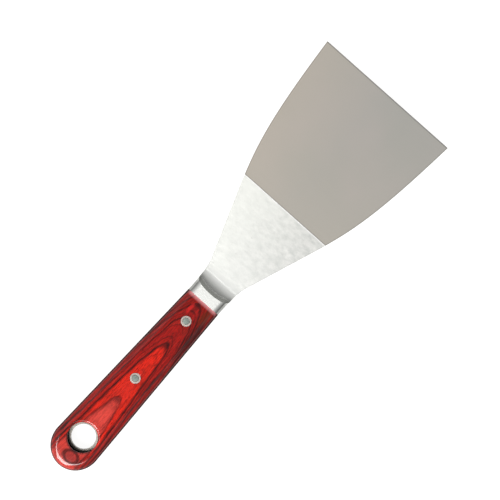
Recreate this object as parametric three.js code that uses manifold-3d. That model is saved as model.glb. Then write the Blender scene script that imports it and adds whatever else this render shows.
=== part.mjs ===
// Drywall taping knife with a 75 mm blade.
//
// One forged steel piece runs the whole length: the blade, the neck, the bolster's raised collar on both
// faces, and a full tang with the handle's outline. Two laminated wood scales lie on the tang's faces,
// butt against the collar and are ground flush with it. Two cutler's rivets hold them, each a male pin
// pressed up through a female sleeve. A hanging hole goes through the butt end of the handle.
//
// Frame, in millimetres: the knife lies flat with +Z up, +X points from the butt to the blade's edge,
// and the origin is at the middle of the bounding box's bottom. Stations along the knife are measured
// from the butt, and the outermost group moves them to that origin.

import * as THREE from "three";
import { mergeVertices } from "three/addons/utils/BufferGeometryUtils.js";
import Module from "manifold-3d";

const wasm = await Module();
wasm.setup();

// ---------------------------------------------------------------- driving dimensions

const LENGTH = 230; // butt to cutting edge
const BLADE_WIDTH = 75; // along the cutting edge
const HANDLE_THICKNESS = 13; // over both scales
const STEEL_THICKNESS = 2.2; // tang, neck and blade, up to the grind line
const EDGE_THICKNESS = 0.7; // at the cutting edge

// Plan outline: stations along the knife, half widths there, and slopes of the side.
const BUTT = { reach: 12.4, half: 11.9 }; // semi-axes of the elliptical butt end
const HANDLE_TAPER = 0.0312; // half width lost per millimetre towards the blade
const NECK_START = 103; // where the handle's taper ends
const NECK_END = 122; // where the blade's straight flare begins
const NECK_PULL = { back: 14, front: 5 }; // how far the neck's curve follows each of its tangents
const NECK_START_SLOPE = 0.02; // the side's slope as it leaves the taper
const FLARE = { slope: 0.366, station: 125, half: 13.1 }; // a point on the straight flare, and its slope
const SHOULDER_START = 146.4; // where the flare starts to curve towards the edge
const SHOULDER_PULL = { back: 22.6, front: 49.9 };
const SHOULDER_END_SLOPE = 0.085; // the side's slope at the cutting edge
const GRIND_LINE = 158; // where the taper grinding starts

// Handle.
const BOLSTER_BACK = 101; // where the scales end and the collar starts
const HANDLE_ROUNDING = 3.5; // radius along the handle's long edges and round its butt
const SCALLOP_END = 113.5; // where the collar's hollow front meets the neck's flat face
const SCALLOP_RADIUS = 8; // of the hollow, on the centre line
const SCALLOP_CROWN = 21.5; // radius in plan that the hollow's curved upper edge follows

// Hanging hole.
const HANGING_HOLE_STATION = 17;
const SCALE_BORE_RADIUS = 7.1;
const SCALE_BORE_ROUNDING = 1;
const TANG_BORE_RADIUS = 5.9;

// Cutler's rivets.
const RIVET_STATIONS = [53.8, 89.1];
const RIVET_HEAD_RADIUS = 2.5;
const RIVET_HEAD_DEPTH = 2;
const SLEEVE_RADIUS = 2.1;
const PIN_RADIUS = 1.6;
const RIVET_CLEARANCE = 0.05; // between a rivet and its hole, and between its pin and its sleeve
const SLEEVE_END_GAP = 0.4; // from the sleeve's lower end to the male head

const ROUND_STEPS = 32; // sides of a full round
const CURVE_STEPS = 12; // steps along each curve of the outline
const BEVEL_STEPS = 6;
const MARGIN = 1; // how far a cutter runs past what it cuts

const MIDDLE_HEIGHT = HANDLE_THICKNESS / 2;
const STEEL_TOP = MIDDLE_HEIGHT + STEEL_THICKNESS / 2;
const STEEL_BOTTOM = MIDDLE_HEIGHT - STEEL_THICKNESS / 2;

// ---------------------------------------------------------------- solids and meshes

// A closed three.js geometry as a solid that can be cut and joined.
function solidOf(geometry) {
  const bare = geometry.clone();
  bare.deleteAttribute("normal");
  bare.deleteAttribute("uv");
  const merged = mergeVertices(bare);
  return new wasm.Manifold(
    new wasm.Mesh({
      numProp: 3,
      vertProperties: merged.attributes.position.array,
      triVerts: new Uint32Array(merged.index.array),
    }),
  );
}

// A cut solid as a three.js geometry, with flat-shaded faces.
function geometryOf(solid) {
  const mesh = solid.getMesh();
  const indexed = new THREE.BufferGeometry();
  indexed.setAttribute("position", new THREE.BufferAttribute(mesh.vertProperties, 3));
  indexed.setIndex(new THREE.BufferAttribute(mesh.triVerts, 1));
  const geometry = indexed.toNonIndexed();
  geometry.computeVertexNormals();
  return geometry;
}

// A block between two corners.
function block(low, high) {
  const size = high.map((value, axis) => value - low[axis]);
  const geometry = new THREE.BoxGeometry(...size);
  geometry.translate(...high.map((value, axis) => (value + low[axis]) / 2));
  return geometry;
}

// A profile of [radius, height] points turned about a vertical axis at a station on the centre line.
function turned(profile, station = 0) {
  const points = profile.map(([radius, height]) => new THREE.Vector2(radius, height));
  const geometry = new THREE.LatheGeometry(points, ROUND_STEPS);
  geometry.rotateX(Math.PI / 2);
  geometry.translate(station, 0, 0);
  return geometry;
}

// An upright round hole between two heights.
function hole(station, radius, low, high) {
  return solidOf(turned([[0, low], [radius, low], [radius, high], [0, high]], station));
}

// A node of the part.
function named(name, geometry, material) {
  const mesh = new THREE.Mesh(geometry, material);
  mesh.name = name;
  return mesh;
}

// ---------------------------------------------------------------- outline

const taperedHalf = (station) => BUTT.half - HANDLE_TAPER * (station - BUTT.reach);
const flaredHalf = (station) => FLARE.half + FLARE.slope * (station - FLARE.station);

// The knife's side on -Y, from the butt's tip along the handle's taper to the end of the neck.
function handleSide(side) {
  const tangent = Math.atan2(BUTT.half, BUTT.reach * HANDLE_TAPER);
  side.absellipse(BUTT.reach, 0, BUTT.reach, BUTT.half, Math.PI, 2 * Math.PI - tangent, false);
  side.lineTo(NECK_START, -taperedHalf(NECK_START));
  side.bezierCurveTo(
    NECK_START + NECK_PULL.back,
    -taperedHalf(NECK_START) - NECK_PULL.back * NECK_START_SLOPE,
    NECK_END - NECK_PULL.front,
    -flaredHalf(NECK_END - NECK_PULL.front),
    NECK_END,
    -flaredHalf(NECK_END),
  );
}

// The rest of that side: the straight flare, then the shoulder's curve to the cutting edge's corner.
function bladeSide(side) {
  const tip = BLADE_WIDTH / 2;
  side.lineTo(SHOULDER_START, -flaredHalf(SHOULDER_START));
  side.bezierCurveTo(
    SHOULDER_START + SHOULDER_PULL.back,
    -flaredHalf(SHOULDER_START + SHOULDER_PULL.back),
    LENGTH - SHOULDER_PULL.front,
    -(tip - SHOULDER_END_SLOPE * SHOULDER_PULL.front),
    LENGTH,
    -tip,
  );
}

// A closed outline made of one side and its mirror image, which share the butt's tip.
function symmetrical(side) {
  const points = side.getPoints(CURVE_STEPS);
  const mirrored = points
    .slice(1)
    .reverse()
    .map((point) => new THREE.Vector2(point.x, -point.y));
  return new THREE.Shape([...points, ...mirrored]);
}

// The handle's outline, run on past the collar, because the blank's square end is cut off.
function handleOutline() {
  const side = new THREE.Path();
  const end = NECK_END + 3 * HANDLE_ROUNDING;
  handleSide(side);
  side.lineTo(end, -flaredHalf(end));
  return symmetrical(side);
}

// The outline of the steel, which is the whole knife's.
function knifeOutline() {
  const side = new THREE.Path();
  handleSide(side);
  bladeSide(side);
  return symmetrical(side);
}

// ---------------------------------------------------------------- sub-parts

// The handle's full form, with its long edges and butt rounded, before it is split into layers.
function handleBlank() {
  const geometry = new THREE.ExtrudeGeometry(handleOutline(), {
    depth: HANDLE_THICKNESS - 2 * HANDLE_ROUNDING,
    bevelSize: HANDLE_ROUNDING,
    bevelThickness: HANDLE_ROUNDING,
    bevelOffset: -HANDLE_ROUNDING,
    bevelSegments: BEVEL_STEPS,
  });
  geometry.translate(0, 0, HANDLE_ROUNDING);
  return solidOf(geometry);
}

// The part of the handle's form between two stations and two heights.
function blankBetween(stations, heights) {
  const reach = BUTT.half + MARGIN;
  return handleBlank().intersect(
    solidOf(block([stations[0], -reach, heights[0]], [stations[1], reach, heights[1]])),
  );
}

// The round hollow at the collar's front: a barrel across the knife, widest on the centre line, whose
// underside lies along the blade's upper face. Each ring of it is lowered by what the barrel loses there.
function scallopCutter() {
  const reach = BUTT.half;
  const lost = (y) => (y * y) / (2 * SCALLOP_CROWN);
  const profile = [new THREE.Vector2(0, -reach)];
  for (let step = 0; step <= 2 * CURVE_STEPS; step += 1) {
    const y = reach * (step / CURVE_STEPS - 1);
    profile.push(new THREE.Vector2(SCALLOP_RADIUS - lost(y), y));
  }
  profile.push(new THREE.Vector2(0, reach));
  const geometry = new THREE.LatheGeometry(profile, 2 * ROUND_STEPS);
  const position = geometry.attributes.position;
  for (let index = 0; index < position.count; index += 1) {
    position.setZ(index, position.getZ(index) - lost(position.getY(index)));
  }
  geometry.translate(SCALLOP_END, 0, STEEL_TOP + SCALLOP_RADIUS);
  return solidOf(geometry);
}

// The collar on the upper face, hollowed in front.
function upperCollar() {
  return blankBetween([BOLSTER_BACK, SCALLOP_END], [MIDDLE_HEIGHT, HANDLE_THICKNESS]).subtract(
    scallopCutter(),
  );
}

// The same collar on the lower face.
function lowerCollar() {
  return upperCollar().mirror([0, 0, 1]).translate([0, 0, HANDLE_THICKNESS]);
}

// The wedge that taper grinding takes off the blade's upper face.
function grindCutter() {
  const taken = (STEEL_THICKNESS - EDGE_THICKNESS) / 2;
  const end = LENGTH + MARGIN;
  const takenAtEnd = (taken * (end - GRIND_LINE)) / (LENGTH - GRIND_LINE);
  const section = new THREE.Shape([
    new THREE.Vector2(GRIND_LINE, STEEL_TOP),
    new THREE.Vector2(end, STEEL_TOP - takenAtEnd),
    new THREE.Vector2(end, STEEL_TOP + MARGIN),
    new THREE.Vector2(GRIND_LINE, STEEL_TOP + MARGIN),
  ]);
  const geometry = new THREE.ExtrudeGeometry(section, {
    depth: BLADE_WIDTH + 2 * MARGIN,
    bevelEnabled: false,
  });
  geometry.rotateX(Math.PI / 2);
  geometry.translate(0, BLADE_WIDTH / 2 + MARGIN, 0);
  return solidOf(geometry);
}

// Blade, neck, bolster and full tang in one piece, with the holes of the tang.
function bladeAndTang() {
  const flat = new THREE.ExtrudeGeometry(knifeOutline(), {
    depth: STEEL_THICKNESS,
    bevelEnabled: false,
  });
  flat.translate(0, 0, STEEL_BOTTOM);
  const upperGrind = grindCutter();
  const lowerGrind = grindCutter().mirror([0, 0, 1]).translate([0, 0, HANDLE_THICKNESS]);
  let steel = solidOf(flat).add(upperCollar()).add(lowerCollar());
  steel = steel.subtract(upperGrind).subtract(lowerGrind);
  const low = STEEL_BOTTOM - MARGIN;
  const high = STEEL_TOP + MARGIN;
  steel = steel.subtract(hole(HANGING_HOLE_STATION, TANG_BORE_RADIUS, low, high));
  for (const station of RIVET_STATIONS) {
    steel = steel.subtract(hole(station, SLEEVE_RADIUS + RIVET_CLEARANCE, low, high));
  }
  return geometryOf(steel);
}

// The hanging hole in the upper scale, its rim rounded outwards.
function scaleBore() {
  const straightTop = HANDLE_THICKNESS - SCALE_BORE_ROUNDING;
  const profile = [[0, STEEL_TOP - MARGIN], [SCALE_BORE_RADIUS, STEEL_TOP - MARGIN]];
  for (let step = 0; step <= BEVEL_STEPS; step += 1) {
    const turn = (step / BEVEL_STEPS) * (Math.PI / 2);
    profile.push([
      SCALE_BORE_RADIUS + SCALE_BORE_ROUNDING * (1 - Math.cos(turn)),
      straightTop + SCALE_BORE_ROUNDING * Math.sin(turn),
    ]);
  }
  const mouth = SCALE_BORE_RADIUS + SCALE_BORE_ROUNDING;
  profile.push([mouth, HANDLE_THICKNESS + MARGIN], [0, HANDLE_THICKNESS + MARGIN]);
  return solidOf(turned(profile, HANGING_HOLE_STATION));
}

// A rivet's hole in the upper scale, stepped for the sleeve's head.
function rivetSeat(station) {
  const seat = HANDLE_THICKNESS - RIVET_HEAD_DEPTH;
  const shank = hole(station, SLEEVE_RADIUS + RIVET_CLEARANCE, STEEL_TOP - MARGIN, seat + MARGIN);
  const head = hole(
    station,
    RIVET_HEAD_RADIUS + RIVET_CLEARANCE,
    seat - RIVET_CLEARANCE,
    HANDLE_THICKNESS + MARGIN,
  );
  return shank.add(head);
}

// A wood scale, as it lies on the tang's upper face.
function upperScale() {
  let scale = blankBetween([-MARGIN, BOLSTER_BACK], [STEEL_TOP, HANDLE_THICKNESS]);
  scale = scale.subtract(scaleBore());
  for (const station of RIVET_STATIONS) {
    scale = scale.subtract(rivetSeat(station));
  }
  return scale;
}

function frontScale() {
  return geometryOf(upperScale());
}

// The back scale is the front one mirrored through the tang.
function backScale() {
  return geometryOf(upperScale().mirror([0, 0, 1]).translate([0, 0, HANDLE_THICKNESS]));
}

// The rivet's male half: a head flush with the back scale, and a pin that ends flush in the sleeve's face.
function rivetPin() {
  return turned([
    [0, 0],
    [RIVET_HEAD_RADIUS, 0],
    [RIVET_HEAD_RADIUS, RIVET_HEAD_DEPTH],
    [PIN_RADIUS, RIVET_HEAD_DEPTH],
    [PIN_RADIUS, HANDLE_THICKNESS],
    [0, HANDLE_THICKNESS],
  ]);
}

// The rivet's female half: a tube round the pin, with a head flush with the front scale.
function rivetSleeve() {
  const inside = PIN_RADIUS + RIVET_CLEARANCE;
  const lowerEnd = RIVET_HEAD_DEPTH + SLEEVE_END_GAP;
  const headSeat = HANDLE_THICKNESS - RIVET_HEAD_DEPTH;
  return turned([
    [inside, lowerEnd],
    [SLEEVE_RADIUS, lowerEnd],
    [SLEEVE_RADIUS, headSeat],
    [RIVET_HEAD_RADIUS, headSeat],
    [RIVET_HEAD_RADIUS, HANDLE_THICKNESS],
    [inside, HANDLE_THICKNESS],
    [inside, lowerEnd],
  ]);
}

// ---------------------------------------------------------------- assembly

const steel = new THREE.MeshStandardMaterial({ color: 0xc9cac6, roughness: 0.3, metalness: 1 });
const wood = new THREE.MeshStandardMaterial({ color: 0x9c2420, roughness: 0.35, metalness: 0 });
const sleeveMetal = new THREE.MeshStandardMaterial({ color: 0xd7c8be, roughness: 0.3, metalness: 1 });
const pinMetal = new THREE.MeshStandardMaterial({ color: 0x919892, roughness: 0.4, metalness: 1 });

const group = new THREE.Group();
group.name = "taping_knife";
group.position.x = -LENGTH / 2;
group.add(named("blade_and_tang", bladeAndTang(), steel));
group.add(named("front_scale", frontScale(), wood.clone()));
group.add(named("back_scale", backScale(), wood.clone()));
RIVET_STATIONS.forEach((station, index) => {
  const place = index === 0 ? "rear" : "front";
  const pin = named(`${place}_rivet_pin`, rivetPin(), pinMetal.clone());
  const sleeve = named(`${place}_rivet_sleeve`, rivetSleeve(), sleeveMetal.clone());
  for (const half of [pin, sleeve]) {
    half.position.x = station;
    group.add(half);
  }
});

export default group;
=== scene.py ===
"""A drywall taping knife lying flat on a pale floor, seen from straight above.

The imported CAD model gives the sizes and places. Every node gets a finer mesh here: the steel with its eased
edges, polished collar and ground face, the two lacquered wood scales, and the rivets' two halves.
"""

import math

import bmesh
import bpy
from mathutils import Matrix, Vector


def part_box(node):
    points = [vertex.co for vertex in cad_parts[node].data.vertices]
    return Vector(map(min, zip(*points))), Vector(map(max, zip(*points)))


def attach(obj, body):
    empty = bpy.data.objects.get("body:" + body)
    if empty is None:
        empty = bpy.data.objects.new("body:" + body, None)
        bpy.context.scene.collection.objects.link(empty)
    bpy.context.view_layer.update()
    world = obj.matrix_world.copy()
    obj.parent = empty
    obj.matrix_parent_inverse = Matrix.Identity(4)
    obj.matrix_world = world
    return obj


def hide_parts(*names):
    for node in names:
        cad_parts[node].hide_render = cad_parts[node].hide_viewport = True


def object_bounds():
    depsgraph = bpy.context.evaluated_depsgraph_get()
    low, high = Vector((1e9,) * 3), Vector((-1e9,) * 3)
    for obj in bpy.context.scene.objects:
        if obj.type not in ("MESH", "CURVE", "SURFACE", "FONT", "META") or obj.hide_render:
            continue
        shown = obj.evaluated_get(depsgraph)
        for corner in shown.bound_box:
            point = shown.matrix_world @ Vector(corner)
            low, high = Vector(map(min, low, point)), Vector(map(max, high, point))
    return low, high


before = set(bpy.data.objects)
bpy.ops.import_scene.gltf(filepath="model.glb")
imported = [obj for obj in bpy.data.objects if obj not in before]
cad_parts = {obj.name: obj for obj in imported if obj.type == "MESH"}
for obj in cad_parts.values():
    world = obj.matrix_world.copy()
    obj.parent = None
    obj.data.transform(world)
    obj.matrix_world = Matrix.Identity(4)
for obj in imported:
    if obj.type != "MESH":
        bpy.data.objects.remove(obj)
cad_low, cad_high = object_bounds()

MM = 0.001

# ------------------------------------------------------------------ sizes, from the frame

steel_low, steel_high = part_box("blade_and_tang")
scale_low, scale_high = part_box("front_scale")
BUTT_X = steel_low.x
LENGTH = steel_high.x - steel_low.x
BLADE_HALF = steel_high.y
MIDDLE_Z = (steel_low.z + steel_high.z) / 2
HANDLE_TOP = steel_high.z - MIDDLE_Z  # heights are measured from the middle plane
STEEL_HALF = scale_low.z - MIDDLE_Z
BOLSTER_BACK = scale_high.x - BUTT_X  # stations are measured from the butt

# ------------------------------------------------------------------ sizes that the boxes don't show

# The outline: stations, half widths and slopes of the side.
BUTT_REACH = 12.4 * MM  # the elliptical butt's semi-axis along the knife
BUTT_HALF = 11.9 * MM  # and across it
HANDLE_TAPER = 0.0312
NECK_START = 103 * MM
NECK_END = 122 * MM
NECK_PULL = (14 * MM, 5 * MM)  # how far the neck's curve follows each of its tangents
NECK_START_SLOPE = 0.02
FLARE_SLOPE = 0.366
FLARE_POINT = (125 * MM, 13.1 * MM)  # a station and a half width on the straight flare
SHOULDER_START = 146.4 * MM
SHOULDER_PULL = (22.6 * MM, 49.9 * MM)
SHOULDER_END_SLOPE = 0.085

# The steel's faces.
GRIND_LINE = 158 * MM  # where the taper grinding starts
GRIND_STEP = 0.03 * MM  # how far the ground face lies below the flat one at the grind line
GRIND_STEP_LENGTH = 0.12 * MM
CUTTING_EDGE_DROP = 0.13 * MM  # rounding of each face at the cutting edge
EDGE_HALF = 0.35 * MM  # half the steel's thickness at the cutting edge
EASED = 0.14 * MM  # rounding of the steel's long edges
SCALLOP_END = 113.5 * MM  # where the collar's hollow front meets the neck's flat face
SCALLOP_RADIUS = 8 * MM  # of the hollow, on the middle line
SCALLOP_CROWN = 21.5 * MM  # radius in plan that the hollow's curved upper edge follows

# The handle.
HANDLE_ROUNDING = 3.5 * MM  # radius along the long edges and round the butt
SCALE_END_EASE = (0.45 * MM, 0.1 * MM)  # how far back and down the scale's end is eased at the collar
HANGING_HOLE = 17 * MM  # station of its middle
SCALE_BORE = 7.1 * MM  # radius of the hanging hole in a scale
SCALE_BORE_ROUNDING = 1.0 * MM
TANG_BORE = 5.9 * MM  # and in the tang

# The rivets: stations, radii and gaps.
RIVETS = (53.8 * MM, 89.1 * MM)
RIVET_HEAD = 2.5 * MM
RIVET_HEAD_DEPTH = 2 * MM
RIVET_EASE = 0.07 * MM  # rounding of the rivets' edges
RIVET_CROWN = 0.02 * MM  # how far the middle of a rivet's face stands above its edge
SLEEVE_RADIUS = 2.1 * MM
PIN_RADIUS = 1.6 * MM
CLEARANCE = 0.05 * MM  # between a rivet and its hole, and between its pin and its sleeve
SLEEVE_END_GAP = 0.4 * MM  # from the sleeve's lower end to the pin's head

ROUND_STEPS = 72  # sides of a full round
SIDE_STEPS = 24  # along each long side of the handle
BUTT_STEPS = 64  # round the butt
ROUNDING_STEPS = 10  # across the handle's rounding on a scale
HALVINGS = 40  # when a place is found by halving
SHARP_ANGLE = math.radians(20)  # edges that turn more than this stay sharp
WELD_DISTANCE = 0.0001 * MM

# ------------------------------------------------------------------ outline


def tapered_half(station):
    return BUTT_HALF - HANDLE_TAPER * (station - BUTT_REACH)


def flared_half(station):
    return FLARE_POINT[1] + FLARE_SLOPE * (station - FLARE_POINT[0])


def cubic(ends, t):
    """A point of a cubic curve given by its four (station, half width) points."""
    weights = ((1 - t) ** 3, 3 * t * (1 - t) ** 2, 3 * t * t * (1 - t), t**3)
    return tuple(sum(w * p[axis] for w, p in zip(weights, ends)) for axis in (0, 1))


def curve_half(ends, station):
    """The half width of a curve at a station, found by halving."""
    low, high = 0.0, 1.0
    for _ in range(HALVINGS):
        middle = (low + high) / 2
        if cubic(ends, middle)[0] < station:
            low = middle
        else:
            high = middle
    return cubic(ends, low)[1]


NECK_CURVE = (
    (NECK_START, tapered_half(NECK_START)),
    (NECK_START + NECK_PULL[0], tapered_half(NECK_START) + NECK_PULL[0] * NECK_START_SLOPE),
    (NECK_END - NECK_PULL[1], flared_half(NECK_END - NECK_PULL[1])),
    (NECK_END, flared_half(NECK_END)),
)
SHOULDER_CURVE = (
    (SHOULDER_START, flared_half(SHOULDER_START)),
    (SHOULDER_START + SHOULDER_PULL[0], flared_half(SHOULDER_START + SHOULDER_PULL[0])),
    (LENGTH - SHOULDER_PULL[1], BLADE_HALF - SHOULDER_END_SLOPE * SHOULDER_PULL[1]),
    (LENGTH, BLADE_HALF),
)


def half_width(station):
    """The knife's half width ahead of the butt's ellipse."""
    if station < NECK_START:
        return tapered_half(station)
    if station < NECK_END:
        return curve_half(NECK_CURVE, station)
    if station < SHOULDER_START:
        return flared_half(station)
    return curve_half(SHOULDER_CURVE, min(station, LENGTH))


def handle_outline(inset, end):
    """Points along the handle's outline from (end, -y) round the butt to (end, +y), moved in by inset."""
    tangent = math.atan2(BUTT_HALF, BUTT_REACH * HANDLE_TAPER)
    points = []
    for step in range(SIDE_STEPS):
        station = end + (BUTT_REACH - end) * step / SIDE_STEPS
        points.append((station, -(tapered_half(station) - inset)))
    for step in range(BUTT_STEPS + 1):
        angle = -tangent - (2 * math.pi - 2 * tangent) * step / BUTT_STEPS
        nose_x = math.cos(angle) / BUTT_REACH
        nose_y = math.sin(angle) / BUTT_HALF
        reach = math.hypot(nose_x, nose_y)
        x = BUTT_REACH + BUTT_REACH * math.cos(angle) - inset * nose_x / reach
        y = BUTT_HALF * math.sin(angle) - inset * nose_y / reach
        points.append((x, y))
    for step in range(SIDE_STEPS):
        station = BUTT_REACH + (end - BUTT_REACH) * (step + 1) / SIDE_STEPS
        points.append((station, tapered_half(station) - inset))
    return points


# ------------------------------------------------------------------ mesh helpers


def place(station, y, height):
    """A point of the knife in the row's frame: station from the butt, height from the middle plane."""
    return Vector((BUTT_X + station, y, MIDDLE_Z + height))


def ring(bm, station, radius, height):
    """The vertices of a level circle about a point of the middle line."""
    verts = []
    for step in range(ROUND_STEPS):
        turn = 2 * math.pi * step / ROUND_STEPS
        verts.append(bm.verts.new(place(station + radius * math.cos(turn), radius * math.sin(turn), height)))
    return verts


def join_rings(bm, rings, closed=True):
    """Quads between each ring, or open line, of vertices and the next. Returns the faces."""
    faces = []
    for lower, upper in zip(rings, rings[1:]):
        count = len(lower)
        for i in range(count if closed else count - 1):
            j = (i + 1) % count
            faces.append(bm.faces.new((lower[i], lower[j], upper[j], upper[i])))
    return faces


def edges_of(bm, loop):
    """The edges round a closed loop of vertices, made where they don't exist yet."""
    pairs = zip(loop, loop[1:] + loop[:1])
    return [bm.edges.get(pair) or bm.edges.new(pair) for pair in pairs]


def fill(bm, outer, holes):
    """Flat triangles inside a loop of vertices and outside the holes."""
    edges = edges_of(bm, outer)
    for hole in holes:
        edges += edges_of(bm, hole)
    made = bmesh.ops.triangle_fill(bm, use_beauty=True, use_dissolve=False, edges=edges)
    return [g for g in made["geom"] if isinstance(g, bmesh.types.BMFace)]


def piece(bm, name, node, materials):
    """Makes a finished piece of a bmesh: smooth except at its sharp edges, riding on the root body."""
    bmesh.ops.remove_doubles(bm, verts=bm.verts, dist=WELD_DISTANCE)
    bmesh.ops.recalc_face_normals(bm, faces=bm.faces)
    mesh = bpy.data.meshes.new(name)
    bm.to_mesh(mesh)
    bm.free()
    for face in mesh.polygons:
        face.use_smooth = True
    mesh.set_sharp_from_angle(angle=SHARP_ANGLE)
    obj = bpy.data.objects.new(name, mesh)
    bpy.context.scene.collection.objects.link(obj)
    for material in materials:
        mesh.materials.append(material)
    weighted = obj.modifiers.new("weighted", "WEIGHTED_NORMAL")
    weighted.keep_sharp = True
    weighted.weight = 90
    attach(obj, "root")
    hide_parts(node)


# ------------------------------------------------------------------ node helpers


class Nodes:
    """Makes the nodes of one material, each call giving the new node's output."""

    # The Mix node has sockets for several kinds of data under the same names. These are its colours.
    MIX_FIRST, MIX_SECOND, MIX_RESULT = 6, 7, 2

    def __init__(self, name):
        self.material = bpy.data.materials.new(name)
        self.material.use_nodes = True
        self.tree = self.material.node_tree
        self.tree.nodes.clear()
        output = self.tree.nodes.new("ShaderNodeOutputMaterial")
        self.shader = self.tree.nodes.new("ShaderNodeBsdfPrincipled")
        self.tree.links.new(self.shader.outputs[0], output.inputs[0])

    def feed(self, socket, value):
        """Links an output to the socket, or sets the socket's own value."""
        if isinstance(value, bpy.types.NodeSocket):
            self.tree.links.new(value, socket)
        else:
            socket.default_value = value

    def set(self, name, value):
        """Feeds the shader's own socket of that name."""
        self.feed(self.shader.inputs[name], value)

    def math(self, operation, *values):
        node = self.tree.nodes.new("ShaderNodeMath")
        node.operation = operation
        for socket, value in zip(node.inputs, values):
            self.feed(socket, value)
        return node.outputs[0]

    def place(self):
        """The surface point's coordinates in the piece's own frame: x, y and z, in metres."""
        coordinates = self.tree.nodes.new("ShaderNodeTexCoord")
        split = self.tree.nodes.new("ShaderNodeSeparateXYZ")
        self.tree.links.new(coordinates.outputs["Object"], split.inputs[0])
        return split.outputs[0], split.outputs[1], split.outputs[2]

    def vector(self, x, y, z):
        node = self.tree.nodes.new("ShaderNodeCombineXYZ")
        for socket, value in zip(node.inputs, (x, y, z)):
            self.feed(socket, value)
        return node.outputs[0]

    def attribute(self, name):
        node = self.tree.nodes.new("ShaderNodeAttribute")
        node.attribute_name = name
        return node.outputs["Fac"]

    def scaled(self, place, per_metre):
        """The place stretched by a number of features per metre along each axis."""
        return self.vector(*(self.math("MULTIPLY", p, s) for p, s in zip(place, per_metre)))

    def noise(self, vector, detail=4.0, roughness=0.55, scale=1.0):
        node = self.tree.nodes.new("ShaderNodeTexNoise")
        self.feed(node.inputs["Vector"], vector)
        node.inputs["Scale"].default_value = scale
        node.inputs["Detail"].default_value = detail
        node.inputs["Roughness"].default_value = roughness
        return node.outputs[0]

    def remap(self, value, low, high, to_low=0.0, to_high=1.0, smooth=False):
        """The value carried from one range to another, and held at the range's ends."""
        node = self.tree.nodes.new("ShaderNodeMapRange")
        node.interpolation_type = "SMOOTHSTEP" if smooth else "LINEAR"
        self.feed(node.inputs["Value"], value)
        self.feed(node.inputs["From Min"], low)
        self.feed(node.inputs["From Max"], high)
        self.feed(node.inputs["To Min"], to_low)
        self.feed(node.inputs["To Max"], to_high)
        return node.outputs[0]

    def mix(self, share, first, second):
        """The first colour with a share of the second in it."""
        node = self.tree.nodes.new("ShaderNodeMix")
        node.data_type = "RGBA"
        self.feed(node.inputs["Factor"], share)
        self.feed(node.inputs[self.MIX_FIRST], first)
        self.feed(node.inputs[self.MIX_SECOND], second)
        return node.outputs[self.MIX_RESULT]

    def bump(self, height, distance, strength=1.0, normal=None):
        node = self.tree.nodes.new("ShaderNodeBump")
        self.feed(node.inputs["Height"], height)
        node.inputs["Distance"].default_value = distance
        node.inputs["Strength"].default_value = strength
        if normal is not None:
            self.feed(node.inputs["Normal"], normal)
        return node.outputs[0]


def rgb(red, green, blue):
    """A colour given in 0 to 255 display values, as linear light."""

    def linear(value):
        value /= 255
        return value / 12.92 if value <= 0.04045 else ((value + 0.055) / 1.055) ** 2.4

    return (linear(red), linear(green), linear(blue), 1.0)


# ------------------------------------------------------------------ steel's materials

# Stretches over which a finish, a painted light or a painted shade changes, each from one station to another.
COLLAR_SHADE_FADES = (BOLSTER_BACK + 4.5 * MM, BOLSTER_BACK + 10 * MM)  # where the painted shade on the collar's sides fades out
HOLLOW_PAINTED_LIGHT = (SCALLOP_END - 5 * MM, SCALLOP_END - 1.5 * MM)  # painted light: the hollow's polish is coloured lighter towards its end
ROUGHENED = (SCALLOP_END - 5 * MM, SCALLOP_END - 1 * MM)  # and rougher
ROUGHENING_ENDS = (SCALLOP_END - 0.4 * MM, SCALLOP_END + 0.6 * MM)
SATIN_STARTS = (SCALLOP_END - 2 * MM, SCALLOP_END + 0.5 * MM)
NECK_PAINTED_SHADE = (SCALLOP_END + 0.2 * MM, SCALLOP_END + 3.5 * MM)  # painted shade: the satin is darker next to the hollow
GRIND_LINE_HIGHLIGHT = (GRIND_LINE - 0.6 * MM, GRIND_LINE - 0.15 * MM)  # painted highlight: a bright strip just behind the grind line
# Painted shade on the ground face, just past the grind line and at its cutting edge.
RIDGE_SHADED = (GRIND_LINE + 0.2 * MM, GRIND_LINE + 0.7 * MM)
TIP_SHADED = (LENGTH - 0.8 * MM, LENGTH - 0.2 * MM)

COLLAR_SIDE_SHADE = (6.5 * MM, 8.6 * MM)  # from the middle line, where painted shade darkens the collar's polish
SATIN_PAINTED_LIGHT = (-18 * MM, 18 * MM)  # painted light: the satin is lighter from the -Y side to the +Y side
SIDE_SHADED = (0.1 * MM, 0.6 * MM)  # in from the blade's side, where painted shade darkens the ground face
POLISHED_ROUGHNESS = 0.26
SATIN_ROUGHNESS = 0.32
ADDED_ROUGHNESS = 0.1  # near the hollow's end


def satin_tone(n, station, y, cross_grain, blotches):
    """The satin's colour: blotched, with darker cross-grain, painted light towards +Y, darker towards the
    neck, and painted shade next to the hollow.
    """
    tone = n.mix(n.remap(blotches, 0.3, 0.7), rgb(190, 192, 188), rgb(222, 221, 217))
    tone = n.mix(n.remap(cross_grain, 0.58, 0.78, 0.0, 0.45), tone, rgb(172, 173, 169))
    # Painted light: lighter towards the +Y side.
    tone = n.mix(n.remap(y, *SATIN_PAINTED_LIGHT, 0.0, 0.85), tone, rgb(232, 233, 227))
    tone = n.mix(n.remap(station, NECK_START, GRIND_LINE, 0.5, 0.0), tone, rgb(182, 183, 181))
    # Painted shade: the satin darkens next to the hollow.
    return n.mix(n.remap(station, *NECK_PAINTED_SHADE, 0.42, 0.0), tone, rgb(168, 169, 167))


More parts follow.
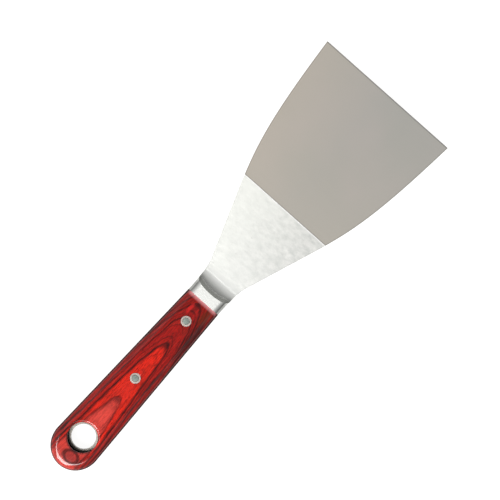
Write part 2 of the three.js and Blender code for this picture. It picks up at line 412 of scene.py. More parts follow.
def polished_tone(n, station, y):
    """The polish's colour: painted shade along the collar's sides, and painted light towards the hollow's
    end.
    """
    # Painted light: the hollow is coloured lighter towards its end.
    tone = n.mix(n.remap(station, *HOLLOW_PAINTED_LIGHT, smooth=True), rgb(218, 219, 215), rgb(233, 234, 230))
    # Painted shade: the collar's rounded sides are coloured dark.
    side = n.remap(n.math("ABSOLUTE", y), *COLLAR_SIDE_SHADE, 0.0, 0.68, smooth=True)
    on_collar = n.remap(station, *COLLAR_SHADE_FADES, 1.0, 0.0)
    return n.mix(n.math("MULTIPLY", side, on_collar), tone, rgb(96, 97, 94))


def satin_steel():
    """The unground steel: polished on the collar and in its hollow, satin with cross-grain on the blade."""
    n = Nodes("satin_steel")
    x, y, z = n.place()
    station = n.math("SUBTRACT", x, BUTT_X)
    cross_grain = n.noise(n.scaled((x, y, z), (5200, 160, 900)), 3.0, 0.6)
    blotches = n.noise(n.scaled((x, y, z), (480, 260, 300)), 4.0, 0.65)
    flecks = n.noise(n.scaled((x, y, z), (1500, 420, 900)), 2.0, 0.7)
    satin = n.remap(station, *SATIN_STARTS, smooth=True)
    tone = n.mix(satin, polished_tone(n, station, y), satin_tone(n, station, y, cross_grain, blotches))
    # Painted highlight: a bright strip just behind the grind line.
    tone = n.mix(n.remap(station, *GRIND_LINE_HIGHLIGHT, 0.0, 0.6, smooth=True), tone, rgb(252, 252, 250))
    n.set("Base Color", tone)
    n.set("Metallic", 1.0)

    cross_part = n.remap(cross_grain, 0.25, 0.75, -0.04, 0.05)
    fleck_part = n.remap(flecks, 0.3, 0.7, -0.02, 0.02)
    brushed = n.math("ADD", SATIN_ROUGHNESS, n.math("ADD", cross_part, fleck_part))
    roughened = n.remap(station, *ROUGHENED, 0.0, ADDED_ROUGHNESS, smooth=True)
    added = n.math("MULTIPLY", roughened, n.remap(station, *ROUGHENING_ENDS, 1.0, 0.0, smooth=True))
    n.set("Roughness", n.math("ADD", n.remap(satin, 0.0, 1.0, POLISHED_ROUGHNESS, brushed), added))
    relief = n.math("ADD", cross_grain, n.math("MULTIPLY", flecks, 0.5))
    n.set("Normal", n.bump(n.math("MULTIPLY", relief, satin), 0.002 * MM, 0.6))
    return n.material


def shaded_edges(n, station):
    """How much painted shade darkens the ground face: along its sides, its cutting edge and the grind line.
    """
    side = n.remap(n.attribute("inset"), *SIDE_SHADED, 0.45, 0.0, smooth=True)
    tip = n.remap(station, *TIP_SHADED, 0.0, 0.5, smooth=True)
    ridge = n.remap(station, *RIDGE_SHADED, 0.4, 0.0, smooth=True)
    return n.math("MAXIMUM", n.math("MAXIMUM", side, tip), ridge)


def ground_steel():
    """The taper-ground face: nearly a mirror, with fine grinding lines across the blade."""
    n = Nodes("ground_steel")
    x, y, z = n.place()
    station = n.math("SUBTRACT", x, BUTT_X)
    lines = n.noise(n.scaled((x, y, z), (9000, 45, 300)), 3.0, 0.65)
    broad = n.noise(n.scaled((x, y, z), (26, 30, 26)), 2.0, 0.5)
    tone = n.mix(n.remap(broad, 0.35, 0.65), rgb(199, 194, 188), rgb(193, 191, 184))
    # Lighter and warmer towards the grind line. Painted light makes the face lighter and warmer towards +Y as
    # well.
    tone = n.mix(n.remap(station, GRIND_LINE, LENGTH, 0.35, 0.0), tone, rgb(214, 203, 187))
    tone = n.mix(n.remap(y, 0.0, BLADE_HALF, 0.0, 0.4), tone, rgb(218, 206, 188))
    tone = n.mix(n.remap(lines, 0.6, 0.8, 0.0, 0.25), tone, rgb(170, 170, 166))
    # Painted shade darkens the ground face along its edges.
    n.set("Base Color", n.mix(shaded_edges(n, station), tone, rgb(112, 108, 103)))
    n.set("Metallic", 1.0)
    n.set("Roughness", n.remap(lines, 0.25, 0.75, 0.15, 0.24))
    n.set("Normal", n.bump(lines, 0.0012 * MM, 0.5))
    return n.material


def tang_steel():
    """The tang, dull and spotted, with rolling lines along the handle's edge."""
    n = Nodes("tang_steel")
    place_here = n.place()
    rolled = n.noise(n.scaled(place_here, (300, 5000, 300)), 3.0, 0.6)
    spots = n.noise(n.scaled(place_here, (700, 700, 700)), 4.0, 0.65)
    n.set("Base Color", n.mix(n.remap(spots, 0.4, 0.7), rgb(106, 102, 96), rgb(84, 80, 75)))
    n.set("Metallic", 1.0)
    n.set("Roughness", n.remap(rolled, 0.3, 0.7, 0.24, 0.34))
    n.set("Normal", n.bump(rolled, 0.002 * MM, 0.5))
    return n.material


# ------------------------------------------------------------------ wood's material

# The wood's growth lines, from the outermost in. Each bends back from its tip as
# station = tip - bend * |y - middle| ** power, in millimetres. Its row gives the tip, middle, bend and power,
# then the line's width and strength, and last the wood's colour inside it.
GROWTH_LINES = (
    ((150, 0.4, 0.4, 2.0), (0.3, 0.7), (124, 30, 26)),
    ((136, 0.3, 0.36, 2.0), (0.34, 0.85), (138, 34, 30)),
    ((128, 0.4, 0.36, 2.0), (0.2, 0.6), (124, 30, 27)),
    ((121, 0.4, 0.33, 2.0), (0.26, 0.8), (152, 38, 33)),
    ((113, 0.4, 0.33, 2.0), (0.2, 0.6), (136, 32, 29)),
    ((107, 0.5, 0.31, 2.0), (0.34, 0.9), (148, 35, 31)),
    ((102.6, 0.4, 0.31, 2.0), (0.18, 0.55), (140, 34, 30)),
    ((98.6, 0.4, 0.31, 2.0), (0.46, 0.95), (158, 38, 35)),
    ((94.6, 0.2, 0.2, 2.3), (0.2, 0.7), (150, 36, 33)),
    ((90.4, -0.1, 0.076, 3.0), (0.36, 0.95), (166, 40, 36)),
    ((86.5, 0.1, 0.34, 2.1), (0.18, 0.6), (158, 36, 33)),
    ((79.5, 0.2, 0.62, 2.0), (0.22, 0.65), (170, 38, 33)),
    ((75.5, -0.3, 0.92, 2.0), (0.6, 1.0), (220, 46, 34)),
    ((60, -0.2, 1.3, 2.0), (0.14, 0.3), (212, 48, 38)),
    ((42.2, -0.2, 0.46, 2.2), (0.62, 0.75), (208, 68, 60)),
)
EDGE_COLOUR = (110, 25, 21)  # outside the outermost line
KNOT = (6.9, -1.7, 2.7, 3.8)  # station, y, and half sizes along and across, in millimetres
# Patches of other colour: station, y, half length and half width, then the colour and its strength.
PATCHES = (
    ((84, -6.9, 15, 2.0), (48, 20, 12), 0.8),
    ((96, -5.6, 5, 2.2), (92, 44, 24), 0.7),
    ((58, -7.8, 9, 0.9), (48, 12, 10), 0.7),
    ((15.6, 9.9, 3.4, 1.0), (40, 12, 12), 0.85),
    ((95, 2.4, 3.4, 1.0), (226, 48, 48), 0.5),
    ((30, 0, 9, 3), (220, 84, 74), 0.35),
)
DARK_LINE_COLOUR = (62, 14, 12)
JOINT_HIGHLIGHT_COLOUR = (238, 164, 166)
EDGE_SHADE_COLOUR = (26, 4, 3)  # the two painted shades have no lacquer over them
BORE_SHADE_COLOUR = (16, 8, 7)
JOINT_HIGHLIGHT_STATIONS = (BOLSTER_BACK - 1.9 * MM, BOLSTER_BACK - 0.2 * MM)  # stations of a painted pale highlight on the wood at the collar

# Heights above the middle plane, and radii, over which the wood's finish, painted shade and painted highlight
# change.
FLAT_SIDE = (2.4 * MM, 3.4 * MM)  # the painted shade is weaker below
EDGE_SHADE_HEIGHTS = (4.4 * MM, 5.7 * MM)  # and fades above
JOINT_HIGHLIGHT_HEIGHTS = (4.8 * MM, 6.3 * MM)
BORE_MOUTH = (5.35 * MM, 5.75 * MM)  # the bore's painted shade stops here
BORE_WALL = (SCALE_BORE + 0.05 * MM, SCALE_BORE + 0.35 * MM)
FLAT_FACE = (HANDLE_TOP - 0.03 * MM, HANDLE_TOP - 0.006 * MM)
BUFFED_COAT = 0.4  # the lacquer's share left on the flat faces, which are buffed down with the rivets
LACQUER_HAZE = 0.0115  # linear light that the lacquer's flat face reflects
WOOD_LIGHT = 1.33  # linear light that a white surface in the wood's place would return


def wood_rgb(red, green, blue):
    """The wood's own colour where it shows a given display colour through the lacquer's faint reflection."""
    shown = rgb(red, green, blue)
    own = [max(value - LACQUER_HAZE, LACQUER_HAZE / 10) / WOOD_LIGHT for value in shown[:3]]
    return (*own, 1.0)


def grain_sway(n, place_here):
    """How far the growth lines wander sideways, in millimetres."""
    wobble = n.math("SUBTRACT", n.noise(n.scaled(place_here, (46, 190, 190)), 3.0, 0.5), 0.5)
    ripple = n.math("SUBTRACT", n.noise(n.scaled(place_here, (150, 420, 420)), 2.0, 0.5), 0.5)
    return n.math("ADD", n.math("MULTIPLY", wobble, 2.6), n.math("MULTIPLY", ripple, 0.8))


def growth_line(n, station, across, curve, width, strength):
    """How far a point lies outside a growth line, and how dark the line is there."""
    tip, middle, bend, power = curve
    aside = n.math("ABSOLUTE", n.math("SUBTRACT", across, middle))
    back = n.math("MULTIPLY", n.math("POWER", aside, power), bend)
    ahead = n.math("SUBTRACT", n.math("ADD", station, back), tip)
    slope = n.math("MULTIPLY", n.math("POWER", aside, power - 1), bend * power)
    steep = n.math("SQRT", n.math("ADD", n.math("MULTIPLY", slope, slope), 1.0))
    outside = n.math("DIVIDE", ahead, steep)
    # The line is broadest at its tip, sharp on its outer side and soft on its inner side.
    smear = n.remap(aside, 0.2, 1.5, width * 3.4, width, smooth=True)
    front = n.remap(outside, width * 0.3, smear, 1.0, 0.0, smooth=True)
    rear = n.remap(outside, n.math("MULTIPLY", smear, -2.4), -width * 0.1, 0.0, 1.0, smooth=True)
    return outside, n.math("MULTIPLY", n.math("MULTIPLY", front, rear), strength)


def growth(n, place_here, station, across):
    """The wood's colour between its growth lines, and how dark the lines are."""
    tone = wood_rgb(*EDGE_COLOUR)
    dark = 0.0
    for curve, (width, strength), colour in GROWTH_LINES:
        outside, line = growth_line(n, station, across, curve, width, strength)
        tone = n.mix(n.remap(outside, 0.1, -0.25, 0.0, 1.0, smooth=True), tone, wood_rgb(*colour))
        dark = n.math("MAXIMUM", dark, line)
    broken = n.remap(n.noise(n.scaled(place_here, (140, 700, 700)), 2.0), 0.32, 0.6, 0.6, 1.0)
    return tone, n.math("MULTIPLY", dark, broken)


def streaked(n, tone, place_here, station, across, fibre, seed):
    """The tone with streaks along the growth lines, and with straight fine fibres and pores."""
    bend = n.math("MULTIPLY", n.math("MULTIPLY", across, across), 0.55)
    years = n.math("ADD", n.math("MULTIPLY", station, 0.5), bend)
    streaks = n.noise(n.vector(years, n.math("MULTIPLY", station, 0.03), seed), 5.0, 0.66, 0.6)
    pores = n.noise(n.scaled(place_here, (520, 5200, 5200)), 2.0, 0.6)
    stains = n.noise(n.scaled(place_here, (70, 160, 160)), 3.0, 0.6)
    crowding = n.remap(n.math("ABSOLUTE", across), 3.0, 9.0, 0.55, 1.0)
    dark_streaks = n.math("MULTIPLY", n.remap(streaks, 0.5, 0.66, 0.0, 0.9), crowding)
    tone = n.mix(dark_streaks, tone, wood_rgb(80, 12, 12))
    tone = n.mix(n.remap(streaks, 0.28, 0.44, 0.35, 0.0), tone, wood_rgb(224, 58, 44))
    tone = n.mix(n.remap(fibre, 0.48, 0.66, 0.0, 0.55), tone, wood_rgb(84, 14, 12))
    tone = n.mix(n.remap(fibre, 0.28, 0.42, 0.3, 0.0), tone, wood_rgb(232, 70, 52))
    tone = n.mix(n.remap(pores, 0.54, 0.66, 0.0, 0.7), tone, wood_rgb(44, 4, 4))
    return n.mix(n.remap(stains, 0.52, 0.72, 0.0, 0.5), tone, wood_rgb(96, 36, 24))


def squared_distance(n, station, across, oval):
    """A point's squared distance from the middle of an oval, where 1 is on the oval itself."""
    middle_station, middle_y, half_long, half_wide = oval
    along = n.math("DIVIDE", n.math("SUBTRACT", station, middle_station), half_long)
    aside = n.math("DIVIDE", n.math("SUBTRACT", across, middle_y), half_wide)
    return n.math("ADD", n.math("POWER", along, 2.0), n.math("POWER", aside, 2.0))


def marked(n, tone, station, across, fibre):
    """The tone with a small knot behind the hanging hole, and with a few patches of other colour."""
    knot = n.math("SQRT", squared_distance(n, station, across, KNOT))
    rim = n.remap(n.math("ABSOLUTE", n.math("SUBTRACT", knot, 1.0)), 0.08, 0.42, 0.85, 0.0, smooth=True)
    tone = n.mix(n.remap(knot, 0.4, 1.05, 0.6, 0.0, smooth=True), tone, wood_rgb(118, 44, 44))
    tone = n.mix(rim, tone, wood_rgb(66, 16, 20))
    streaky = n.remap(fibre, 0.35, 0.6, 0.45, 1.0)
    for oval, colour, strength in PATCHES:
        away = squared_distance(n, station, across, oval)
        share = n.remap(away, 0.2, 1.3, strength, 0.0, smooth=True)
        tone = n.mix(n.math("MULTIPLY", share, streaky), tone, wood_rgb(*colour))
    return tone


def painted_edge_shade(n, height):
    """How much painted shade darkens the handle's rounded edges. Their flat sides get less of it."""
    rounding = n.remap(height, *EDGE_SHADE_HEIGHTS, 0.9, 0.0, smooth=True)
    return n.math("MULTIPLY", rounding, n.remap(height, *FLAT_SIDE, 0.45, 1.0, smooth=True))


def painted_bore_shade(n, from_butt, y, height):
    """How much painted shade darkens the hanging hole's wall, below its rounded mouth."""
    from_hole = n.math("SUBTRACT", from_butt, HANGING_HOLE)
    squares = n.math("ADD", n.math("MULTIPLY", from_hole, from_hole), n.math("MULTIPLY", y, y))
    radius = n.math("SQRT", squares)
    bore_shade = n.remap(radius, *BORE_WALL, 1.0, 0.0, smooth=True)
    return n.math("MULTIPLY", bore_shade, n.remap(height, *BORE_MOUTH, 1.0, 0.0, smooth=True))


def lacquered_wood(name, shift, seed):
    """Dyed laminated wood under gloss lacquer. The back scale's growth lines lie a shift further on."""
    n = Nodes(name)
    x, y, z = n.place()
    seeded = (n.math("ADD", x, seed), y, z)
    station = n.math("DIVIDE", n.math("SUBTRACT", x, BUTT_X + shift), MM)
    across = n.math("ADD", n.math("DIVIDE", y, MM), grain_sway(n, seeded))
    fibre = n.noise(n.scaled(seeded, (150, 3200, 3200)), 4.0, 0.62)
    tone, dark = growth(n, seeded, station, across)
    tone = streaked(n, tone, seeded, station, across, fibre, seed)
    tone = n.mix(dark, tone, wood_rgb(*DARK_LINE_COLOUR))
    tone = marked(n, tone, station, across, fibre)

    from_butt = n.math("SUBTRACT", x, BUTT_X)
    height = n.math("ABSOLUTE", n.math("SUBTRACT", z, MIDDLE_Z))
    # Painted shade on the handle's rounded edges.
    edge = painted_edge_shade(n, height)
    # Painted shade on the hanging hole's wall.
    bore_shade = painted_bore_shade(n, from_butt, y, height)
    # Painted highlight: a pale band on the wood where it meets the collar.
    on_face = n.remap(height, *JOINT_HIGHLIGHT_HEIGHTS, 0.2, 1.0, smooth=True)
    joint_highlight = n.math("MULTIPLY", n.remap(from_butt, *JOINT_HIGHLIGHT_STATIONS, 0.0, 0.6), on_face)
    tone = n.mix(joint_highlight, tone, wood_rgb(*JOINT_HIGHLIGHT_COLOUR))
    tone = n.mix(edge, tone, rgb(*EDGE_SHADE_COLOUR))
    n.set("Base Color", n.mix(bore_shade, tone, rgb(*BORE_SHADE_COLOUR)))

    n.set("Roughness", n.remap(fibre, 0.3, 0.7, 0.4, 0.5))
    n.set("Specular IOR Level", 0.0)
    gloss = n.remap(height, *FLAT_FACE, 1.0, BUFFED_COAT, smooth=True)
    # The lacquer is left off where painted shade darkens the edges and the hole's wall.
    unshaded = n.remap(n.math("MAXIMUM", edge, bore_shade), 0.0, 1.0, 1.0, 0.0)
    n.set("Coat Weight", n.math("MULTIPLY", gloss, unshaded))
    n.set("Coat Roughness", 0.08)
    n.set("Coat IOR", 1.5)
    waves = n.bump(n.noise(n.scaled((x, y, z), (130, 220, 220)), 2.0, 0.5), 0.02 * MM, 0.5)
    n.set("Normal", n.bump(n.math("SUBTRACT", fibre, dark), 0.006 * MM, 0.4, waves))
    return n.material


# ------------------------------------------------------------------ rivets' material

PIN_COLOURS = ((107, 115, 109), (96, 102, 98))  # clean and stained
SLEEVE_COLOURS = ((146, 136, 131), (133, 123, 117))
PIN_ROUGHNESS = 0.42
SLEEVE_ROUGHNESS = 0.38


def rivet_metal(name, colours, shade, roughness):
    """Metal ground flush by hand: fine scratches in one direction and a little staining."""
    clean, stained = (rgb(*(shade * value for value in colour)) for colour in colours)
    n = Nodes(name)
    x, y, z = n.place()
    lean = math.radians(35)
    along = n.math("ADD", n.math("MULTIPLY", x, math.cos(lean)), n.math("MULTIPLY", y, math.sin(lean)))
    across = n.math("SUBTRACT", n.math("MULTIPLY", y, math.cos(lean)), n.math("MULTIPLY", x, math.sin(lean)))
    scratches = n.noise(n.scaled((along, across, z), (500, 14000, 3000)), 3.0, 0.6)
    stains = n.noise(n.scaled((x, y, z), (900, 900, 900)), 4.0, 0.6)
    n.set("Base Color", n.mix(n.remap(stains, 0.35, 0.7), clean, stained))
    n.set("Metallic", 1.0)
    n.set("Roughness", n.remap(scratches, 0.25, 0.75, roughness - 0.04, roughness + 0.06))
    n.set("Normal", n.bump(scratches, 0.002 * MM, 0.5))
    return n.material


# ------------------------------------------------------------------ steel

SATIN, GROUND, TANG = range(3)  # the order of the steel's materials

# Columns of the grid that lie close to an edge across the knife, and so keep it crisp.
COLLAR_LAST = 0.985  # as a share of the collar's top
HOLLOW_FIRST = 0.004  # as a share of the hollow
BEFORE_GRIND_LINE = 0.1 * MM
BEFORE_CUTTING_EDGE = 0.3 * MM


def scallop_radius(y):
    """The hollow's radius, which falls away from the middle line so that its upper edge curves in plan."""
    return SCALLOP_RADIUS - y * y / (2 * SCALLOP_CROWN)


def scallop_height(station, y):
    """Height of the collar's hollow front, or None behind it."""
    radius = scallop_radius(y)
    back = SCALLOP_END - station
    if back >= radius:
        return None
    return STEEL_HALF + radius - math.sqrt(radius * radius - back * back)


def blank_height(inset):
    """Height of the handle's rounded form, by the distance in from its side."""
    if inset >= HANDLE_ROUNDING:
        return HANDLE_TOP
    short = HANDLE_ROUNDING - inset
    return HANDLE_TOP - HANDLE_ROUNDING + math.sqrt(max(HANDLE_ROUNDING**2 - short**2, 0.0))


def eased(inset):
    """How far a long edge of the steel is rounded down, by the distance in from its side."""
    if inset >= EASED:
        return 0.0
    return EASED - math.sqrt(EASED**2 - (EASED - inset) ** 2)


def blade_height(station):
    """Half the steel's thickness ahead of the collar."""
    if station <= GRIND_LINE:
        return STEEL_HALF
    share = (station - GRIND_LINE) / (LENGTH - GRIND_LINE)
    return STEEL_HALF - GRIND_STEP + (EDGE_HALF - STEEL_HALF + GRIND_STEP) * share


def across_rows():
    """The rows of the steel's grid from its -Y side to its +Y side.

    A row near a side is (-1 or 1, its inset), and a row between them is (its share of the half width, None).
    """
    insets = [0.0, 0.05 * MM, EASED]
    clear_of_easing = EASED * 1.5
    round_steps = 9
    for step in range(1, round_steps + 1):
        inset = HANDLE_ROUNDING * (1 - math.cos(math.pi / 2 * step / round_steps))
        if inset > clear_of_easing:
            insets.append(inset)
    inner_steps = 12
    inner = [(2 * step / inner_steps - 1, None) for step in range(1, inner_steps)]
    return [(-1, inset) for inset in insets] + inner + [(1, inset) for inset in reversed(insets)]


def row_y(row, station):
    """Where a row of the grid crosses a station."""
    share, inset = row
    half = half_width(station)
    if inset is None:
        return share * (half - HANDLE_ROUNDING)
    return share * (half - inset)


def crest(row):
    """The station where the collar's top meets its hollow front, along one row of the grid."""
    low, high = BOLSTER_BACK, SCALLOP_END
    for _ in range(HALVINGS):
        middle = (low + high) / 2
        y = row_y(row, middle)
        hollow = scallop_height(middle, y)
        if hollow is None or hollow > blank_height(half_width(middle) - abs(y)):
            low = middle
        else:
            high = middle
    return (low + high) / 2


def steel_columns():
    """The grid's columns along the knife: each is a function from a row to (station, height)."""
    columns = []

    def add_collar(share):
        def at(row):
            station = BOLSTER_BACK + (crest(row) - BOLSTER_BACK) * share
            inset = half_width(station) - abs(row_y(row, station))
            return station, blank_height(inset)

        columns.append(at)

    def add_hollow(share):
        def at(row):
            start = crest(row)
            station = start + (SCALLOP_END - start) * share
            y = row_y(row, station)
            height = scallop_height(station, y)
            inset = half_width(station) - abs(y)
            return station, height - eased(inset) * share

        columns.append(at)

    def add_blade(station, drop=0.0):
        def at(row):
            inset = half_width(station) - abs(row_y(row, station))
            return station, blade_height(station) - drop - eased(inset)

        columns.append(at)

    collar_steps = 6
    for step in range(collar_steps):
        add_collar(step / collar_steps)
    add_collar(COLLAR_LAST)
    add_hollow(HOLLOW_FIRST)
    hollow_steps = 16
    for step in range(1, hollow_steps):
        add_hollow(math.sin(math.pi / 2 * step / hollow_steps))
    neck_steps = 14
    for step in range(neck_steps):
        add_blade(SCALLOP_END + (NECK_END - SCALLOP_END) * step / neck_steps)
    flare_steps = 10
    for step in range(flare_steps):
        add_blade(NECK_END + (GRIND_LINE - NECK_END) * step / flare_steps)
    add_blade(GRIND_LINE - BEFORE_GRIND_LINE)
    add_blade(GRIND_LINE)
    add_blade(GRIND_LINE + GRIND_STEP_LENGTH)
    ground_steps = 30
    for step in range(1, ground_steps):
        add_blade(GRIND_LINE + (LENGTH - GRIND_LINE) * step / ground_steps)
    add_blade(LENGTH - BEFORE_CUTTING_EDGE)
    add_blade(LENGTH, CUTTING_EDGE_DROP)
    return columns


def steel_face(bm, side):
    """One face of the steel, upper for side 1: its grid of vertices and the loops that its walls join."""
    inset_layer = bm.verts.layers.float["inset"]
    rows = across_rows()
    grid = []
    for column in steel_columns():
        line = []
        for row in rows:
            station, height = column(row)
            y = row_y(row, station)
            vert = bm.verts.new(place(station, y, side * height))
            vert[inset_layer] = half_width(station) - abs(y)
            line.append(vert)
        grid.append(line)
    for face in join_rings(bm, grid, closed=False):
        middle = face.calc_center_median().x - BUTT_X
        face.material_index = GROUND if middle > GRIND_LINE + GRIND_STEP_LENGTH else SATIN
    foot = [bm.verts.new(place(BOLSTER_BACK, row_y(row, BOLSTER_BACK), side * STEEL_HALF)) for row in rows]
    join_rings(bm, [foot, grid[0]], closed=False)
    outline = handle_outline(0.0, BOLSTER_BACK)[1:-1]
    tang = [bm.verts.new(place(x, y, side * STEEL_HALF)) for x, y in outline]
    bores = [ring(bm, HANGING_HOLE, TANG_BORE, side * STEEL_HALF)]
    bores += [ring(bm, at, SLEEVE_RADIUS + CLEARANCE, side * STEEL_HALF) for at in RIVETS]
    for face in fill(bm, list(reversed(foot)) + tang, bores):
        face.material_index = TANG
    return grid, foot, tang, bores


def make_steel(materials):
    """Makes the blade, collar and tang: two faces, the walls between them and the bores' walls."""
    bm = bmesh.new()
    bm.verts.layers.float.new("inset")
    upper, upper_foot, upper_tang, upper_bores = steel_face(bm, 1)
    lower, lower_foot, lower_tang, lower_bores = steel_face(bm, -1)
    for edge in (0, -1):
        join_rings(bm, [[line[edge] for line in upper[1:]], [line[edge] for line in lower[1:]]], closed=False)
        # The side wall's first face goes down the collar's back end, past the two feet.
        back_end = [upper[0][edge], upper_foot[edge], lower_foot[edge], lower[0][edge]]
        bm.faces.new([upper[1][edge]] + back_end + [lower[1][edge]])
    join_rings(bm, [upper[-1], lower[-1]], closed=False)
    tang_top = [upper_foot[0]] + upper_tang + [upper_foot[-1]]
    tang_bottom = [lower_foot[0]] + lower_tang + [lower_foot[-1]]
    tang_walls = join_rings(bm, [tang_top, tang_bottom], closed=False)
    for above, below in zip(upper_bores, lower_bores):
        tang_walls += join_rings(bm, [above, below])
    for face in tang_walls:
        face.material_index = TANG
    piece(bm, "steel_blade", "blade_and_tang", materials)


# ------------------------------------------------------------------ scales


def scale_layers():
    """The scale's outer wall and rounding, from the tang out, as (inset, height) pairs."""
    straight_top = HANDLE_TOP - HANDLE_ROUNDING
    layers = [(0.0, STEEL_HALF), (0.0, straight_top)]
    for step in range(1, ROUNDING_STEPS + 1):
        turn = math.pi / 2 * step / ROUNDING_STEPS
        inset = HANDLE_ROUNDING * (1 - math.cos(turn))
        layers.append((inset, straight_top + HANDLE_ROUNDING * math.sin(turn)))
    return layers


def eased_tip(inset, height):
    """A layer's inset and height where the scale meets the collar, just inside the collar's own."""
    down = SCALE_END_EASE[1]
    on_side = height > STEEL_HALF and inset < HANDLE_ROUNDING
    on_rounding = height > HANDLE_TOP - HANDLE_ROUNDING
    return inset + (down if on_side else 0.0), height - (down if on_rounding else 0.0)


def scale_walls(bm, side):
    """The scale's outer wall and rounding, as open lines of vertices from the tang out."""
    end = BOLSTER_BACK
    lines = []
    for inset, height in scale_layers():
        tip_inset, tip_height = eased_tip(inset, height)
        tip_y = tapered_half(end) - tip_inset
        line = [bm.verts.new(place(end, -tip_y, side * tip_height))]
        outline = handle_outline(inset, end - SCALE_END_EASE[0])
        line += [bm.verts.new(place(x, y, side * height)) for x, y in outline]
        line.append(bm.verts.new(place(end, tip_y, side * tip_height)))
        lines.append(line)
    join_rings(bm, lines, closed=False)
    return lines


def hanging_bore(bm, side):
    """The hanging hole's wall and rounded mouth, as rings from the face down."""
    mouth = []
    mouth_steps = 8
    for step in range(mouth_steps + 1):
        turn = math.pi / 2 * (1 - step / mouth_steps)
        radius = SCALE_BORE + SCALE_BORE_ROUNDING * (1 - math.cos(turn))
        height = HANDLE_TOP - SCALE_BORE_ROUNDING * (1 - math.sin(turn))
        mouth.append(ring(bm, HANGING_HOLE, radius, side * height))
    mouth.append(ring(bm, HANGING_HOLE, SCALE_BORE, side * STEEL_HALF))
    join_rings(bm, mouth)
    return mouth


def rivet_seat(bm, side, station):
    """A stepped seat for a rivet's head and sleeve, with an eased lip, as rings from the face down."""
    lip = 0.08 * MM
    head = RIVET_HEAD + CLEARANCE
    sleeve = SLEEVE_RADIUS + CLEARANCE
    floor = HANDLE_TOP - RIVET_HEAD_DEPTH - CLEARANCE
    steps = [
        (head + lip, HANDLE_TOP),
        (head + lip * 0.3, HANDLE_TOP - lip * 0.3),
        (head, HANDLE_TOP - lip),
        (head, floor),
        (sleeve, floor),
        (sleeve, STEEL_HALF),
    ]
    rings = [ring(bm, station, radius, side * height) for radius, height in steps]
    join_rings(bm, rings)
    return rings


def make_scale(name, node, side, material):
    """Makes one scale, above the tang for side 1 and below it for side -1."""
    bm = bmesh.new()
    lines = scale_walls(bm, side)
    bores = [hanging_bore(bm, side)] + [rivet_seat(bm, side, station) for station in RIVETS]
    inner, outer = lines[0], lines[-1]
    fill(bm, outer[1:-1], [rings[0] for rings in bores])
    eased_strip = (outer[0], outer[1], outer[-2], outer[-1])
    bm.faces.new(eased_strip)
    fill(bm, inner, [rings[-1] for rings in bores])
    end_at_collar = [line[0] for line in lines] + [line[-1] for line in reversed(lines)]
    bm.faces.new(end_at_collar)
    piece(bm, name, node, [material])


# ------------------------------------------------------------------ rivets


def turned(name, station, profile, material, closed):
    """Makes a turned piece for a node. The profile's points are (radius, height), from the lower end up."""
    bm = bmesh.new()
    rings = [ring(bm, station, radius, height) for radius, height in profile]
    join_rings(bm, rings + rings[:1] if closed else rings)
    if not closed:
        for end in (rings[0], rings[-1]):
            bm.faces.new(end)
    piece(bm, name + "_piece", name, [material])


def pin_profile():
    """The male half: a crowned head below and the pin's eased and crowned end above."""
    rim = -HANDLE_TOP + RIVET_CROWN
    end = HANDLE_TOP - RIVET_CROWN
    neck = -HANDLE_TOP + RIVET_HEAD_DEPTH
    return [
        (RIVET_HEAD * 0.3, -HANDLE_TOP + RIVET_CROWN * 0.1),
        (RIVET_HEAD * 0.7, -HANDLE_TOP + RIVET_CROWN * 0.5),
        (RIVET_HEAD - RIVET_EASE, rim),
        (RIVET_HEAD - RIVET_EASE * 0.3, rim + RIVET_EASE * 0.3),
        (RIVET_HEAD, rim + RIVET_EASE),
        (RIVET_HEAD, neck),
        (PIN_RADIUS, neck),
        (PIN_RADIUS, end - RIVET_EASE),
        (PIN_RADIUS - RIVET_EASE * 0.3, end - RIVET_EASE * 0.3),
        (PIN_RADIUS - RIVET_EASE, end),
        (PIN_RADIUS * 0.6, HANDLE_TOP - RIVET_CROWN * 0.4),
        (PIN_RADIUS * 0.25, HANDLE_TOP - RIVET_CROWN * 0.05),
    ]


def sleeve_profile():
    """The female half: a sleeve under a head, whose face is eased at its rim and round the pin."""
    rim = HANDLE_TOP - RIVET_CROWN
    mouth = HANDLE_TOP - RIVET_CROWN * 0.5
    inside = PIN_RADIUS + CLEARANCE
    seat = HANDLE_TOP - RIVET_HEAD_DEPTH
    lower_end = -HANDLE_TOP + RIVET_HEAD_DEPTH + SLEEVE_END_GAP
    return [
        (inside, lower_end),
        (SLEEVE_RADIUS, lower_end),
        (SLEEVE_RADIUS, seat),
        (RIVET_HEAD, seat),
        (RIVET_HEAD, rim - RIVET_EASE),
        (RIVET_HEAD - RIVET_EASE * 0.3, rim - RIVET_EASE * 0.3),
        (RIVET_HEAD - RIVET_EASE, rim),
        (inside + RIVET_EASE, mouth),
        (inside + RIVET_EASE * 0.3, mouth - RIVET_EASE * 0.3),
        (inside, mouth - RIVET_EASE),
    ]


def make_rivet(name, station, shade):
    """Makes both halves of a cutler's rivet. The shade dulls its metal."""
    pin_metal = rivet_metal(name + "_pin_metal", PIN_COLOURS, shade, PIN_ROUGHNESS)
    sleeve_metal = rivet_metal(name + "_sleeve_metal", SLEEVE_COLOURS, shade, SLEEVE_ROUGHNESS)
    turned(name + "_pin", station, pin_profile(), pin_metal, closed=False)
    turned(name + "_sleeve", station, sleeve_profile(), sleeve_metal, closed=True)


# ------------------------------------------------------------------ studio

FLOOR_GAP = 0.05 * MM  # keeps the floor clear of the back scale's face
FLOOR_REACH = 6.0  # from the middle to each side, in metres
FLOOR_GLOW = 0.94
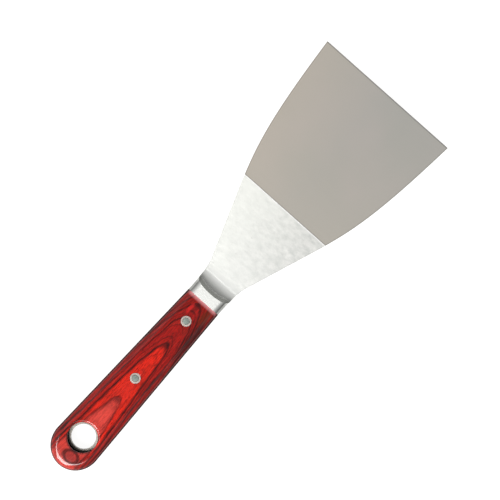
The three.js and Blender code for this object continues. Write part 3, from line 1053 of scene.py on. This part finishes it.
# The dome's strength by how far its direction points up, and what is added for how far it points along the
# knife and across it. Each is a range of the direction, then the range of strength that goes with it.
DOME_FROM_ABOVE = (0.2, 1.0, 0.27, 0.72)
DOME_FROM_BUTT = (-0.1, -0.9, 0.0, 0.3)
DOME_FROM_SIDE = (-0.7, 0.7, -0.08, 0.1)
KEY_DIRECTION = (-0.61, 0.0, 0.793)
KEY_DISTANCE = 1.5
KEY_SIZE = (0.62, 1.22)  # width and height, in metres
KEY_POWER = 34.0  # in watts
CAMERA_HEIGHT = 750 * MM
CAMERA_AIM = (133.3 * MM, -0.2 * MM)  # station and y
CAMERA_TURN = math.radians(-48.35)
PICTURE_WIDTH = 233 * MM  # what the picture spans at the knife's middle plane
SENSOR_WIDTH = 36.0


def make_floor():
    """A self-lit floor, like a light table, so that nothing throws a shadow on it."""
    bm = bmesh.new()
    bmesh.ops.create_grid(bm, x_segments=8, y_segments=8, size=FLOOR_REACH)
    mesh = bpy.data.meshes.new("floor")
    bm.to_mesh(mesh)
    bm.free()
    floor = bpy.data.objects.new("floor", mesh)
    floor.location.z = cad_low[2] - FLOOR_GAP
    bpy.context.scene.collection.objects.link(floor)
    n = Nodes("pale_floor")
    n.set("Base Color", rgb(120, 120, 119))
    n.set("Emission Color", rgb(255, 255, 254))
    n.set("Emission Strength", FLOOR_GLOW)
    n.set("Roughness", 0.8)
    n.set("Specular IOR Level", 0.1)
    mesh.materials.append(n.material)


def make_world():
    """Soft light from all round: strongest from above and from behind the butt, weaker ahead and below."""
    world = bpy.data.worlds.new("studio")
    bpy.context.scene.world = world
    world.use_nodes = True
    tree = world.node_tree
    background = tree.nodes["Background"]
    coordinates = tree.nodes.new("ShaderNodeTexCoord")
    split = tree.nodes.new("ShaderNodeSeparateXYZ")
    tree.links.new(coordinates.outputs["Generated"], split.inputs[0])

    def remap(value, numbers):
        node = tree.nodes.new("ShaderNodeMapRange")
        tree.links.new(value, node.inputs["Value"])
        for name, number in zip(("From Min", "From Max", "To Min", "To Max"), numbers):
            node.inputs[name].default_value = number
        return node.outputs[0]

    def add(first, second):
        node = tree.nodes.new("ShaderNodeMath")
        tree.links.new(first, node.inputs[0])
        tree.links.new(second, node.inputs[1])
        return node.outputs[0]

    x, y, z = split.outputs
    from_above_or_butt = add(remap(z, DOME_FROM_ABOVE), remap(x, DOME_FROM_BUTT))
    strength = add(from_above_or_butt, remap(y, DOME_FROM_SIDE))
    tree.links.new(strength, background.inputs["Strength"])
    background.inputs["Color"].default_value = (1.0, 1.0, 1.0, 1.0)


def make_key_light():
    """A wide, distant soft light behind the butt, facing the knife's middle."""
    light = bpy.data.lights.new("key", "AREA")
    light.shape = "RECTANGLE"
    light.size, light.size_y = KEY_SIZE
    light.energy = KEY_POWER
    lamp = bpy.data.objects.new("key", light)
    towards = Vector(KEY_DIRECTION).normalized()
    lamp.location = towards * KEY_DISTANCE
    lamp.rotation_euler = towards.to_track_quat("Z", "Y").to_euler()
    bpy.context.scene.collection.objects.link(lamp)


def make_camera():
    """Straight above a point ahead of the bolster, turned so that the blade points up and right."""
    camera = bpy.data.cameras.new("camera")
    camera.sensor_width = SENSOR_WIDTH
    camera.lens = SENSOR_WIDTH * CAMERA_HEIGHT / PICTURE_WIDTH
    camera.clip_start = 0.01
    obj = bpy.data.objects.new("camera", camera)
    obj.location = place(*CAMERA_AIM, CAMERA_HEIGHT)
    obj.rotation_euler = (0.0, 0.0, CAMERA_TURN)
    bpy.context.scene.collection.objects.link(obj)
    bpy.context.scene.camera = obj


# ------------------------------------------------------------------ everything

BACK_SCALE_SHIFT = 1.5 * MM  # the back scale's growth lines lie this much further on
BACK_SCALE_SEED = 0.37  # moves all its noise, in metres along the knife
REAR_RIVET_SHADE = 0.9
FRONT_RIVET_SHADE = 1.0

make_floor()
make_world()
make_key_light()
make_camera()
bpy.context.scene.view_settings.view_transform = "Standard"

make_steel([satin_steel(), ground_steel(), tang_steel()])
front_wood = lacquered_wood("front_wood", 0.0, 0.0)
back_wood = lacquered_wood("back_wood", BACK_SCALE_SHIFT, BACK_SCALE_SEED)
make_scale("front_scale_piece", "front_scale", 1, front_wood)
make_scale("back_scale_piece", "back_scale", -1, back_wood)
make_rivet("rear_rivet", RIVETS[0], REAR_RIVET_SHADE)
make_rivet("front_rivet", RIVETS[1], FRONT_RIVET_SHADE)
